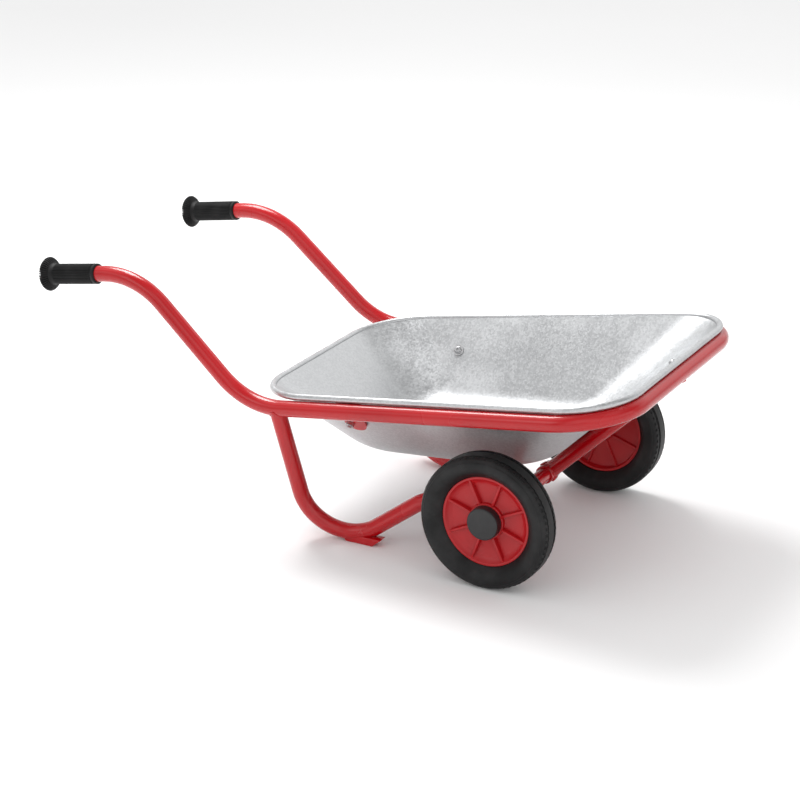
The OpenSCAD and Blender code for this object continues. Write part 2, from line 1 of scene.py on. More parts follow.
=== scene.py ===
"""A child's two-wheeled wheelbarrow: its visible pieces, their finishes and a plain studio."""

import json
from math import atan2, cos, pi, radians, sin, sqrt, tan

import bpy
from bpy.props import FloatProperty, FloatVectorProperty, IntProperty, PointerProperty
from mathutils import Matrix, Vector


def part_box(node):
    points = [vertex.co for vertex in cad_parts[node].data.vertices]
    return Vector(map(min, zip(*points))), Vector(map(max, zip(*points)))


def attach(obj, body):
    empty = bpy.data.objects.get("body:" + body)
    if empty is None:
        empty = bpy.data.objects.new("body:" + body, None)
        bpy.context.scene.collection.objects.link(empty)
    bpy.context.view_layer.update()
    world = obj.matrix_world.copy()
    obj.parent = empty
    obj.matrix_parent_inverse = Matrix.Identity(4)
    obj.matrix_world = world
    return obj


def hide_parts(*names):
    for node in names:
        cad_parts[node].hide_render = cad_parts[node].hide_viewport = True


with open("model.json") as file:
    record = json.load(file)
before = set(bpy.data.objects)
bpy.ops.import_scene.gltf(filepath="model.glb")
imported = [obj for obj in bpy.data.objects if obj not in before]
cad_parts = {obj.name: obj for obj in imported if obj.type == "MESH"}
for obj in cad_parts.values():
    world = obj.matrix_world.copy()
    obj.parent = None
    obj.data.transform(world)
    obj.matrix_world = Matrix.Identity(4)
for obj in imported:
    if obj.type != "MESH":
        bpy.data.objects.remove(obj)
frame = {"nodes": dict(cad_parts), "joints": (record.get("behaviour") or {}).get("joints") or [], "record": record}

bl_info = {
    "name": "Child's Wheelbarrow",
    "version": (1, 0, 0),
    "blender": (4, 5, 0),
    "location": "View3D > Sidebar > Wheelbarrow",
    "description": "Models a child's wheelbarrow round its fixed frame",
    "category": "Add Mesh",
}

SIDES = {"left": 1, "right": -1}
MM = 0.001
AXLE = Vector(frame["joints"][0]["pos_m"])
WHEEL_Y = abs(AXLE.y)
FULL_TURN = 2 * pi
TUBE_SIDES = 40
WELD_SIDES = 56
WELD_SHARE = 0.99  # a weld's ring is this share of its tube's radius, so that it meets the other piece
MERGE = 0.00001
MIX_FIRST, MIX_SECOND, MIX_COLOUR = 6, 7, 2  # sockets of a Mix node that mixes colours
WHITE = (1, 1, 1, 1)


def length(name, about, default):
    return FloatProperty(name=name, description=about, default=default, unit="LENGTH")


def angle(name, about, degrees):
    return FloatProperty(name=name, description=about, default=radians(degrees), subtype="ANGLE")


def tint(name, about, default):
    return FloatVectorProperty(
        name=name, description=about, default=default, subtype="COLOR", size=3, min=0, max=1
    )


# ---------------------------------------------------------------- what a user can change


class FrameSizes(bpy.types.PropertyGroup):
    """Centre lines and bends of the tube frame. Distances along the barrow are taken from the axle."""

    tube_d: length("Tube diameter", "Outer diameter of the bent tubes", 0.022)
    axle_tube_d: length("Axle tube diameter", "Outer diameter of the cross tube between the wheels", 0.020)
    tilt: angle("Tilt", "Rise of the hoop and the grips toward the front", 8.7)
    hoop_height: length("Hoop height", "Height of the hoop's centre line from the floor, at the axle", 0.2344)
    hoop_w: length("Hoop width", "Width of the hoop between centre lines, over the axle", 0.4084)
    splay: angle("Splay", "Outward run of each side of the hoop toward the front", 3.5)
    hoop_front: length("Hoop front", "From the axle forward to the hoop's front", 0.1815)
    corner_r: length("Corner radius", "Bend radius of the hoop's front corners", 0.085)
    grip_span: length("Grip span", "Distance between the two grips", 0.350)
    handle_foot: length("Handle foot", "From the axle back to the lower bend of a handle", 0.3538)
    handle_top: length("Handle top", "From the axle back to the upper bend of a handle", 0.5296)
    handle_end: length("Handle end", "From the axle back to the end of a handle tube", 0.672)
    handle_slope: angle("Handle slope", "Slope of a handle between its bends", 41.5)
    handle_r: length("Handle radius", "Bend radius of a handle", 0.115)
    leg_top: length("Leg top", "From the axle back to the top of a leg", 0.3075)
    foot_back: length("Foot", "From the axle back to the middle of a foot", 0.222)
    foot_span: length("Foot span", "Distance between the middles of the feet", 0.286)
    foot_r: length("Foot radius", "Bend radius of a leg at the foot", 0.067)
    foot_clear: length("Foot clearance", "From the floor to a leg's bend", 0.003)
    leg_rise: angle("Leg rise", "Rise of a leg ahead of the foot", 36.5)
    leg_knee: length("Knee", "From the axle back to the bend where a leg turns level", 0.115)
    knee_r: length("Knee radius", "Bend radius of a leg at the knee", 0.050)
    leg_end_span: length("Leg ends", "Distance between the legs at the axle tube", 0.252)
    bend_step: angle("Bend step", "Largest turn between two rings of a bend", 4)


class TraySizes(bpy.types.PropertyGroup):
    """The pressed tray. Distances along the barrow are taken from the axle."""

    sheet: length("Sheet", "Thickness of the tray's sheet", 0.0012)
    bead_d: length("Bead", "Diameter of the rolled bead round the rim", 0.009)
    back: length("Back", "From the axle back to the outside of the bead", 0.357)
    floor_h: length("Floor height", "Height of the tray's floor over the ground, at the axle", 0.128)
    floor_tilt: angle("Floor tilt", "Rise of the floor toward the front", 4.3)
    floor_front: length("Floor front", "From the axle forward to the front of the floor", 0.0166)
    floor_l: length("Floor length", "Length of the floor", 0.250)
    floor_w: length("Floor width", "Width of the floor", 0.204)
    floor_corner: length("Floor corner", "Radius of the floor's corners", 0.050)
    back_corner: length("Back corner", "Radius of the rim's back corners", 0.078)
    floor_taper: length("Floor taper", "How far each side of the floor runs in toward the back", 0.006)
    bead_in: length("Bead inset", "From the hoop's centre line in to the bead's centre", 0.0035)
    touch: length("Bead clearance", "Gap between the bead and the hoop", 0.0005)
    sheet_side: FloatProperty(
        name="Sheet side", description="Side of the wall lines that the sheet lies on", default=1
    )


class WheelSizes(bpy.types.PropertyGroup):
    """Tyre, rim and hub cap."""

    wheel_d: length("Wheel diameter", "Outer diameter of the tyre", 0.180)
    tyre_w: length("Tyre width", "Width of the tyre", 0.040)
    rim_d: length("Rim diameter", "Diameter of the rim at the tyre's edge", 0.1214)
    rim_edge: length("Rim edge", "Half the width of the rim", 0.008)
    cap_d: length("Cap diameter", "Diameter of the hub cap", 0.044)
    cap_h: length("Cap height", "How far the hub cap stands out of the rim", 0.0107)
    ribs: IntProperty(name="Ribs", description="Ribs on each face of a rim", default=8, min=5, max=12)
    rib_turn: angle("Rib turn", "Turn of the first rib from straight up, forward", 20)
    waves: IntProperty(name="Waves", description="Zigzags round the tread", default=66, min=20, max=90)


class GripSizes(bpy.types.PropertyGroup):
    """The rubber grips."""

    grip_l: length("Length", "Length of a grip", 0.084)
    grip_d: length("Diameter", "Diameter of a grip's body", 0.028)
    stop_d: length("Stop diameter", "Diameter of the stop at a grip's outer end", 0.0466)
    fins: IntProperty(name="Fins", description="Radial fins on a stop", default=40, min=20, max=60)


class Finishes(bpy.types.PropertyGroup):
    """Base colours."""

    coat: tint("Powder coat", "Red of the tube frame", (0.47, 0.002, 0.006))
    rim: tint("Rim", "Red of the plastic rims", (0.44, 0.003, 0.007))
    zinc: tint("Galvanised sheet", "Grey of the tray", (0.60, 0.61, 0.62))
    steel: tint("Plated steel", "Grey of screws, washers and nuts", (0.62, 0.62, 0.63))
    rubber: tint("Rubber", "Black of the tyres and grips", (0.005, 0.005, 0.0055))
    plastic: tint("Black plastic", "Black of the hub caps and bushes", (0.012, 0.012, 0.013))


class Studio(bpy.types.PropertyGroup):
    """Camera, floor and light."""

    lens: FloatProperty(name="Focal length", description="Focal length in millimetres", default=102.6)
    stand: FloatVectorProperty(
        name="Camera", description="Where the camera stands", default=(1.4067, -2.5639, 1.2577),
        subtype="XYZ", unit="LENGTH",
    )
    look: FloatVectorProperty(
        name="Aim", description="Direction in which the camera looks", default=(-0.4450, 0.8223, -0.3546),
        subtype="XYZ",
    )
    floor_size: length("Floor", "Width of the floor", 80.0)
    sky: FloatProperty(name="Sky", description="Strength of the even light from all round", default=1.0)
    key: FloatProperty(name="Key", description="Power of the overhead light", default=34.0, unit="POWER")
    fill: FloatProperty(
        name="Fill", description="Power of the light beside the camera", default=2.5, unit="POWER"
    )


# ---------------------------------------------------------------- finishes


class Wire:
    """A shader socket that takes part in arithmetic; each expression adds its Math node."""

    def __init__(self, recipe, socket):
        self.recipe = recipe
        self.socket = socket

    def _math(self, operation, first, second):
        return self.recipe.node("ShaderNodeMath", 0, {"operation": operation}, {0: first, 1: second})

    def __add__(self, other):
        return self._math("ADD", self, other)

    def __sub__(self, other):
        return self._math("SUBTRACT", self, other)

    def __rsub__(self, other):
        return self._math("SUBTRACT", other, self)

    def __mul__(self, other):
        return self._math("MULTIPLY", self, other)

    __radd__ = __add__
    __rmul__ = __mul__


class Recipe:
    """The nodes of a material, or of the world, written as expressions."""

    def __init__(self, owner, coordinates="Object"):
        self.owner = owner
        self.owner.use_nodes = True
        self.tree = owner.node_tree
        self.tree.nodes.clear()
        self.place = self.node("ShaderNodeTexCoord", coordinates)

    def node(self, kind, output, settings=None, inputs=None):
        node = self.tree.nodes.new(kind)
        for key, value in (settings or {}).items():
            setattr(node, key, value)
        for key, value in (inputs or {}).items():
            if isinstance(value, Wire):
                self.tree.links.new(value.socket, node.inputs[key])
            else:
                node.inputs[key].default_value = value
        return None if output is None else Wire(self, node.outputs[output])

    def noise(self, scale, detail=3, rough=0.5, stretch=None):
        where = self.place
        if stretch:
            where = self.node("ShaderNodeMapping", 0, {}, {"Vector": where, "Scale": stretch})
        pattern = {"Vector": where, "Scale": scale, "Detail": detail, "Roughness": rough}
        return self.node("ShaderNodeTexNoise", 0, {}, pattern)

    def cells(self, scale, output):
        return self.node("ShaderNodeTexVoronoi", output, {}, {"Vector": self.place, "Scale": scale})

    def ramp(self, value, low, high):
        """Eases value from 0 at low to 1 at high."""
        ends = {"Value": value, "From Min": low, "From Max": high}
        return self.node("ShaderNodeMapRange", 0, {"interpolation_type": "SMOOTHSTEP"}, ends)

    def blend(self, share, first, second):
        start = (*first, 1) if isinstance(first, tuple) else first
        colours = {0: share, MIX_FIRST: start, MIX_SECOND: (*second, 1)}
        return self.node("ShaderNodeMix", MIX_COLOUR, {"data_type": "RGBA"}, colours)

    def bump(self, height, strength, distance):
        relief = {"Height": height, "Strength": strength, "Distance": distance}
        return self.node("ShaderNodeBump", 0, {}, relief)

    def finish(self, **sockets):
        names = {}
        for key, value in sockets.items():
            names[key.replace("_", " ").title().replace("Ior", "IOR")] = value
        colour = names.get("Base Color")
        if isinstance(colour, tuple):
            names["Base Color"] = (*colour, 1)
        surface = self.node("ShaderNodeBsdfPrincipled", 0, {}, names)
        self.node("ShaderNodeOutputMaterial", None, {}, {"Surface": surface})
        return self.owner


def material(name):
    return Recipe(bpy.data.materials.new(name))


def darker(colour, share):
    return tuple(c * share for c in colour)


def lighter(colour, share):
    return tuple(c + (1 - c) * share for c in colour)


def powder_coat(colours):
    m = material("Powder coat")
    red = tuple(colours.coat)
    tone = m.ramp(m.noise(9, 2), 0.3, 0.7)
    scuff = m.ramp(m.noise(38, 6, 0.72), 0.66, 0.74)
    peel = m.noise(420, 2)
    colour = m.blend(tone, darker(red, 0.86), red)
    colour = m.blend(scuff * 0.18, colour, lighter(red, 0.25))
    return m.finish(
        base_color=colour, roughness=0.20 + 0.08 * tone + 0.22 * scuff, normal=m.bump(peel, 0.10, 0.0004),
        coat_weight=0.4 - 0.2 * scuff, coat_roughness=0.06, specular_ior_level=0.35,
    )


def galvanised(colours):
    m = material("Galvanised sheet")
    grey = tuple(colours.zinc)
    spangle = m.cells(420, "Color")
    grain = m.noise(900, 3, 0.6)
    cloud = m.ramp(m.noise(11, 4, 0.6), 0.35, 0.7)
    drawn = m.ramp(m.noise(60, 4, 0.6, (1, 1, 6)), 0.35, 0.75)
    mottle = 0.45 * spangle + 0.35 * grain + 0.2 * cloud
    colour = m.blend(m.ramp(mottle, 0.25, 0.75), darker(grey, 0.86), lighter(grey, 0.1))
    return m.finish(
        base_color=colour, metallic=0.92 - 0.06 * cloud,
        roughness=0.27 + 0.13 * spangle + 0.12 * cloud + 0.05 * drawn,
        normal=m.bump(0.6 * grain + 0.12 * spangle + 0.3 * drawn, 0.16, 0.0003),
    )


def plated_steel(colours):
    m = material("Plated steel")
    grey = tuple(colours.steel)
    wipe = m.noise(140, 4, 0.6, (1, 1, 5))
    colour = m.blend(m.ramp(wipe, 0.35, 0.7), darker(grey, 0.8), lighter(grey, 0.2))
    return m.finish(
        base_color=colour, metallic=1.0, roughness=0.22 + 0.2 * wipe, normal=m.bump(wipe, 0.08, 0.0002)
    )


def rim_plastic(colours):
    m = material("Rim plastic")
    red = tuple(colours.rim)
    flow = m.ramp(m.noise(26, 3), 0.3, 0.75)
    skin = m.noise(1300, 2)
    dust = m.ramp(m.noise(70, 5, 0.7), 0.62, 0.8)
    colour = m.blend(flow, darker(red, 0.9), red)
    colour = m.blend(0.12 * dust, colour, (0.6, 0.4, 0.36))
    return m.finish(
        base_color=colour, roughness=0.36 + 0.08 * flow + 0.12 * dust, normal=m.bump(skin, 0.12, 0.0003)
    )


def black_plastic(colours):
    m = material("Black plastic")
    black = tuple(colours.plastic)
    skin = m.noise(1600, 2)
    wipe = m.ramp(m.noise(45, 4, 0.6), 0.4, 0.75)
    colour = m.blend(wipe, black, lighter(black, 0.012))
    return m.finish(base_color=colour, roughness=0.34 + 0.14 * wipe, normal=m.bump(skin, 0.18, 0.0003))


def tyre_rubber(colours):
    m = material("Tyre rubber")
    black = tuple(colours.rubber)
    bloom = m.ramp(m.noise(24, 4, 0.6), 0.35, 0.75)
    grit = m.noise(700, 4, 0.65)
    dust = m.ramp(m.noise(120, 5, 0.7), 0.58, 0.78)
    colour = m.blend(bloom, black, lighter(black, 0.018))
    colour = m.blend(0.10 * dust, colour, (0.16, 0.15, 0.14))
    return m.finish(base_color=colour, roughness=0.46 + 0.12 * bloom + 0.14 * dust, specular_ior_level=0.28,
                    normal=m.bump(grit, 0.2, 0.0004))


def grip_rubber(colours):
    m = material("Grip rubber")
    black = tuple(colours.rubber)
    worn = m.ramp(m.noise(60, 4, 0.6), 0.4, 0.75)
    grit = m.noise(1100, 3, 0.6)
    colour = m.blend(worn, darker(black, 0.8), lighter(black, 0.012))
    return m.finish(base_color=colour, roughness=0.52 + 0.14 * worn, specular_ior_level=0.28,
                    normal=m.bump(grit, 0.2, 0.0003))


FINISHES = {
    "powder_coat": powder_coat,
    "galvanised": galvanised,
    "zinc_steel": plated_steel,
    "rim_plastic": rim_plastic,
    "cap_plastic": black_plastic,
    "bush_plastic": black_plastic,
    "tyre_rubber": tyre_rubber,
    "grip_rubber": grip_rubber,
}
made = {}


def finish_of(slot):
    maker = FINISHES[slot]
    if maker not in made:
        made[maker] = maker(bpy.context.scene.barrow_finishes)
    return made[maker]


# ---------------------------------------------------------------- modelling by hand


def put_down():
    """Leaves edit mode with nothing selected."""
    if bpy.context.object and bpy.context.object.mode != "OBJECT":
        bpy.ops.object.mode_set(mode="OBJECT")
    bpy.ops.object.select_all(action="DESELECT")


def pick_up(*objects):
    put_down()
    for piece in objects:
        piece.select_set(True)
    bpy.context.view_layer.objects.active = objects[0]
    return objects[0]


def edit(select="NOTHING"):
    bpy.ops.object.mode_set(mode="EDIT")
    bpy.ops.mesh.select_mode(type="VERT")
    bpy.ops.mesh.select_all(action="SELECT" if select == "ALL" else "DESELECT")


def choose(kind, wanted):
    """Selects the vertices, edges or faces of the edited mesh that wanted() is true of."""
    piece = bpy.context.object
    bpy.ops.mesh.select_all(action="DESELECT")
    bpy.ops.mesh.select_mode(type=kind)
    bpy.ops.object.mode_set(mode="OBJECT")
    mesh = piece.data
    items = {"VERT": mesh.vertices, "EDGE": mesh.edges, "FACE": mesh.polygons}[kind]
    for item in items:
        if kind == "VERT":
            where = item.co
        elif kind == "EDGE":
            where = (mesh.vertices[item.vertices[0]].co + mesh.vertices[item.vertices[1]].co) / 2
        else:
            where = item.center
        item.select = bool(wanted(where, item))
    bpy.ops.object.mode_set(mode="EDIT")


def turned_to(direction):
    return Vector(direction).to_track_quat("Z", "Y").to_euler()


def hand_over(piece, name, slot, body, *nodes, smooth=40):
    """Names a finished piece, gives it its finish and fastens it to its body."""
    pick_up(piece)
    bpy.ops.object.transform_apply(location=True, rotation=True, scale=True)
    bpy.ops.object.shade_smooth_by_angle(angle=radians(smooth))
    piece.name = name
    piece.data.materials.clear()
    piece.data.materials.append(finish_of(slot))
    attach(piece, body)
    if nodes:
        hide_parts(*nodes)
    put_down()
    return piece


def clean():
    """Merges doubles and faces every polygon outward, in edit mode."""
    bpy.ops.mesh.select_mode(type="VERT")
    bpy.ops.mesh.select_all(action="SELECT")
    bpy.ops.mesh.remove_doubles(threshold=MERGE)
    bpy.ops.mesh.normals_make_consistent(inside=False)


def modifier(piece, kind, **settings):
    pick_up(piece)
    added = piece.modifiers.new(kind.title(), kind)
    for key, value in settings.items():
        setattr(added, key, value)
    bpy.ops.object.modifier_apply(modifier=added.name)


def rounded(piece, width, segments=3, limit=35):
    modifier(
        piece, "BEVEL", width=width, segments=segments, limit_method="ANGLE", angle_limit=radians(limit)
    )


def arc(centre, radius, start, end, steps):
    """Points round an arc, with angles in degrees."""
    turn = [radians(start + (end - start) * i / steps) for i in range(steps + 1)]
    return [(centre[0] + radius * cos(a), centre[1] + radius * sin(a)) for a in turn]


def offsets(radius, edge, rows):
    """Profile points given in millimetres from a radius and from an edge."""
    return [(radius + out * MM, edge + along * MM) for out, along in rows]


def turned(profile, centre, axis, out, steps):
    """A profile of (radius, distance along axis) points, spun once round axis through centre."""
    centre, axis, out = Vector(centre), Vector(axis).normalized(), Vector(out).normalized()
    points = [centre + out * r + axis * a for r, a in profile]
    put_down()
    bpy.ops.mesh.primitive_plane_add(size=MM, location=points[0])
    bpy.ops.object.transform_apply(location=True, rotation=True, scale=True)
    edit("ALL")
    bpy.ops.mesh.merge(type="CENTER")
    for before, after in zip(points, points[1:]):
        bpy.ops.mesh.extrude_region_move(TRANSFORM_OT_translate={"value": after - before})
    bpy.ops.mesh.select_all(action="SELECT")
    bpy.ops.mesh.spin(steps=steps, angle=FULL_TURN, center=centre, axis=axis)
    clean()
    bpy.ops.object.mode_set(mode="OBJECT")
    return bpy.context.object


def bent_tube(path, radii, diameter, step):
    """A round tube along path, whose inner corners are bends of the given radii."""
    path = [Vector(p) for p in path]
    runs = [(b - a).normalized() for a, b in zip(path, path[1:])]
    turns = [runs[i].angle(runs[i + 1]) for i in range(len(radii))]
    trims = [0, *[r * tan(t / 2) for r, t in zip(radii, turns)], 0]
    put_down()
    bpy.ops.mesh.primitive_circle_add(
        vertices=TUBE_SIDES, radius=diameter / 2, location=path[0], rotation=turned_to(runs[0])
    )
    bpy.ops.object.transform_apply(location=True, rotation=True, scale=True)
    edit("ALL")
    for i, run in enumerate(runs):
        straight = (path[i + 1] - path[i]).length - trims[i] - trims[i + 1]
        bpy.ops.mesh.extrude_region_move(TRANSFORM_OT_translate={"value": run * straight})
        if i < len(radii):
            inward = (runs[i + 1] - run * run.dot(runs[i + 1])).normalized()
            centre = path[i + 1] - run * trims[i + 1] + inward * radii[i]
            steps = max(4, int(turns[i] / step))
            bpy.ops.mesh.spin(steps=steps, angle=turns[i], center=centre, axis=inward.cross(run))
    clean()
    mouth = diameter * 0.51
    for end in (path[0], path[-1]):
        choose("VERT", lambda p, _, end=end: (p - end).length < mouth)
        bpy.ops.mesh.edge_face_add()
    clean()
    bpy.ops.object.mode_set(mode="OBJECT")
    return bpy.context.object


def weld_bead(at, along, radius, onto, thick):
    """A weld bead where a round part of that radius meets the surface of the piece onto."""
    put_down()
    bpy.ops.mesh.primitive_circle_add(
        vertices=WELD_SIDES, radius=radius, location=at, rotation=turned_to(along)
    )
    ring = bpy.context.object
    modifier(
        ring, "SHRINKWRAP", target=onto, wrap_method="PROJECT", use_project_z=True,
        use_positive_direction=True, use_negative_direction=True,
    )
    bpy.ops.object.transform_apply(location=True, rotation=True, scale=True)
    bpy.ops.object.convert(target="CURVE")
    ring.data.bevel_depth = thick
    ring.data.bevel_resolution = 3
    bpy.ops.object.convert(target="MESH")
    return bpy.context.object


def joined(*pieces):
    pick_up(*pieces)
    bpy.ops.object.join()
    return bpy.context.object


# ---------------------------------------------------------------- the frame's lines


def barrow_point(x, y, z):
    """A point whose x is measured from the axle."""
    return Vector((AXLE.x + x, y, z))


def hoop_z(s, x):
    return s.hoop_height + tan(s.tilt) * x


def hoop_y(s, x):
    return s.hoop_w / 2 + tan(s.splay) * x


def grip_z(s, x):
    top = hoop_z(s, -s.handle_foot) + (s.handle_top - s.handle_foot) * tan(s.handle_slope)
    return top + tan(s.tilt) * (x + s.handle_top)


def hoop_side(s, side):
    return [
        barrow_point(-s.handle_end, side * s.grip_span / 2, grip_z(s, -s.handle_end)),
        barrow_point(-s.handle_top, side * s.grip_span / 2, grip_z(s, -s.handle_top)),
        barrow_point(-s.handle_foot, side * hoop_y(s, -s.handle_foot), hoop_z(s, -s.handle_foot)),
        barrow_point(s.hoop_front, side * hoop_y(s, s.hoop_front), hoop_z(s, s.hoop_front)),
    ]


def leg_line(s, side):
    bottom = s.foot_clear + s.tube_d / 2
    up = hoop_z(s, -s.leg_top) - bottom - s.foot_r
    reach = s.leg_top - s.foot_back
    lean = atan2(reach, up) - atan2(s.foot_r, sqrt(reach**2 + up**2 - s.foot_r**2))
    square = radians(90)
    out = s.foot_r / cos((square - lean + s.leg_rise) / 2)
    aim = (lean - square + s.leg_rise) / 2 - square
    corner_x = -s.foot_back + out * cos(aim)
    corner_z = bottom + s.foot_r + out * sin(aim)
    knee_z = corner_z + (-s.leg_knee - corner_x) * tan(s.leg_rise)
    share = 1 + s.leg_knee / corner_x
    knee_y = s.foot_span / 2 + (s.leg_end_span - s.foot_span) / 2 * share
    end_drop = 2 * MM
    return [
        barrow_point(-s.leg_top, side * hoop_y(s, -s.leg_top), hoop_z(s, -s.leg_top)),
        barrow_point(corner_x, side * s.foot_span / 2, corner_z),
        barrow_point(-s.leg_knee, side * knee_y, knee_z),
        barrow_point(0, side * s.leg_end_span / 2, AXLE.z - end_drop),
    ]


# ---------------------------------------------------------------- operators


class Piece:
    """What every piece's operator shares."""

    bl_options = {"REGISTER", "UNDO"}


class BARROW_OT_hoop(Piece, bpy.types.Operator):
    """Bend the one tube that runs from grip to grip round the tray"""

    bl_idname = "barrow.hoop"
    bl_label = "Frame hoop"

    def execute(self, context):
        s = context.scene.barrow_frame
        path = hoop_side(s, -1) + hoop_side(s, 1)[::-1]
        radii = [s.handle_r, s.handle_r, s.corner_r, s.corner_r, s.handle_r, s.handle_r]
        hoop = bent_tube(path, radii, s.tube_d, s.bend_step)
        hand_over(hoop, "hoop_tube", "powder_coat", "frame", "frame_hoop")
        return {"FINISHED"}


class BARROW_OT_legs(Piece, bpy.types.Operator):
    """Bend both legs and weld them to the hoop and the axle tube"""

    bl_idname = "barrow.legs"
    bl_label = "Legs"

    def execute(self, context):
        s = context.scene.barrow_frame
        hoop = bpy.data.objects["hoop_tube"]
        axle_tube = bpy.data.objects["axle_tube_turned"]
        bead = 1.5 * MM
        narrow_share = 0.97  # the leg is wider than the axle tube, so its lower weld follows that tube
        for side, sign in SIDES.items():
            line = leg_line(s, sign)
            leg = bent_tube(line, [s.foot_r, s.knee_r], s.tube_d, s.bend_step)
            top = weld_bead(line[0] + (line[1] - line[0]).normalized() * s.tube_d, line[1] - line[0],
                            s.tube_d / 2 * WELD_SHARE, hoop, bead)
            end = weld_bead(line[3] + (line[2] - line[3]).normalized() * s.tube_d, line[2] - line[3],
                            s.axle_tube_d / 2 * narrow_share, axle_tube, bead)
            hand_over(leg, side + "_leg_tube", "powder_coat", "frame", side + "_leg")
            hand_over(joined(top, end), side + "_leg_welds", "powder_coat", "frame", smooth=60)
        return {"FINISHED"}


class BARROW_OT_foot_pads(Piece, bpy.types.Operator):
    """Shape the wedge-ended block under each foot bend"""

    bl_idname = "barrow.foot_pads"
    bl_label = "Foot pads"

    def execute(self, context):
        for side in SIDES:
            node = side + "_foot_pad"
            low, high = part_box(node)
            flat_back, flat_front = 8 * MM, 13 * MM
            tall = 11 * MM
            put_down()
            bpy.ops.mesh.primitive_cube_add(size=1, location=(low + high) / 2)
            pad = bpy.context.object
            pad.scale = high - low
            bpy.ops.object.transform_apply(location=True, rotation=True, scale=True)
            edit()
            choose("VERT", lambda p, _: p.z > (low.z + high.z) / 2)
            bpy.ops.transform.translate(value=(0, 0, low.z + tall - high.z))
            choose("VERT", lambda p, _: p.z < low.z + MM and p.x < (low.x + high.x) / 2)
            bpy.ops.transform.translate(value=(flat_back, 0, 0))
            choose("VERT", lambda p, _: p.z < low.z + MM and p.x > (low.x + high.x) / 2)
            bpy.ops.transform.translate(value=(-flat_front, 0, 0))
            bpy.ops.object.mode_set(mode="OBJECT")
            rounded(pad, 1.4 * MM)
            hand_over(pad, side + "_foot_block", "powder_coat", "frame", node)
        return {"FINISHED"}


class BARROW_OT_axle_tube(Piece, bpy.types.Operator):
    """Turn the cross tube that holds the axle rod"""

    bl_idname = "barrow.axle_tube"
    bl_label = "Axle tube"

    def execute(self, context):
        s = context.scene.barrow_frame
        low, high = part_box("axle_tube")
        half = (high.y - low.y) / 2
        outer, bore, edge = s.axle_tube_d / 2, 6.05 * MM, 0.7 * MM
        run = [(bore, half - edge), (bore + edge, half), (outer - edge, half), (outer, half - edge)]
        back = [(r, -a) for r, a in reversed(run)]
        tube = turned(run + back + run[:1], (AXLE.x, 0, AXLE.z), (0, 1, 0), (0, 0, 1), 48)
        hand_over(tube, "axle_tube_turned", "powder_coat", "frame", "axle_tube")
        return {"FINISHED"}


class BARROW_OT_stay(Piece, bpy.types.Operator):
    """Make the front stay, its collar with two ears, and the stay's welds"""

    bl_idname = "barrow.stay"
    bl_label = "Front stay"

    def execute(self, context):
        s = context.scene.barrow_frame
        foot = barrow_point(0, 0, AXLE.z)
        head = barrow_point(s.hoop_front, 0, hoop_z(s, s.hoop_front))
        rise = (head - foot).normalized()
        stay = bent_tube([foot, head], [], s.tube_d, s.bend_step)
        low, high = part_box("stay_collar")
        half, edge = (high.y - low.y) / 2, 0.8 * MM
        inner, outer = s.axle_tube_d / 2 + 0.02 * MM, s.axle_tube_d / 2 + 2.5 * MM
        wall = [(inner, half), (outer - edge, half), (outer, half - edge)]
        back = [(r, -a) for r, a in reversed(wall)]
        collar = turned(wall + back + wall[:1], foot, (0, 1, 0), (0, 0, 1), 64)
        ears = []
        ear_turn, ear_r, ear_top = radians(80), 4.8 * MM, outer + 1.6 * MM
        for sign in (-1, 1):
            lean = atan2(rise.z, rise.x) + sign * ear_turn
            out = Vector((cos(lean), 0, sin(lean)))
            profile = [(0, inner + MM), (ear_r, inner + MM), (ear_r, ear_top - MM),
                       *arc((ear_r - MM, ear_top - MM), MM, 0, 90, 4)[1:], (0, ear_top)]
            ears.append(turned(profile, foot, out, (0, 1, 0), 32))
        hoop = bpy.data.objects["hoop_tube"]
        weld_head = weld_bead(head - rise * s.tube_d, rise, s.tube_d / 2 * WELD_SHARE, hoop, 1.5 * MM)
        weld_foot = weld_bead(foot + rise * s.tube_d * 1.5, rise, s.tube_d / 2 * WELD_SHARE, collar, 1.3 * MM)
        hand_over(stay, "stay_tube", "powder_coat", "frame", "front_stay")
        hand_over(joined(collar, *ears), "collar_sleeve", "powder_coat", "frame", "stay_collar")
        hand_over(joined(weld_head, weld_foot), "stay_welds", "powder_coat", "frame", smooth=60)
        return {"FINISHED"}


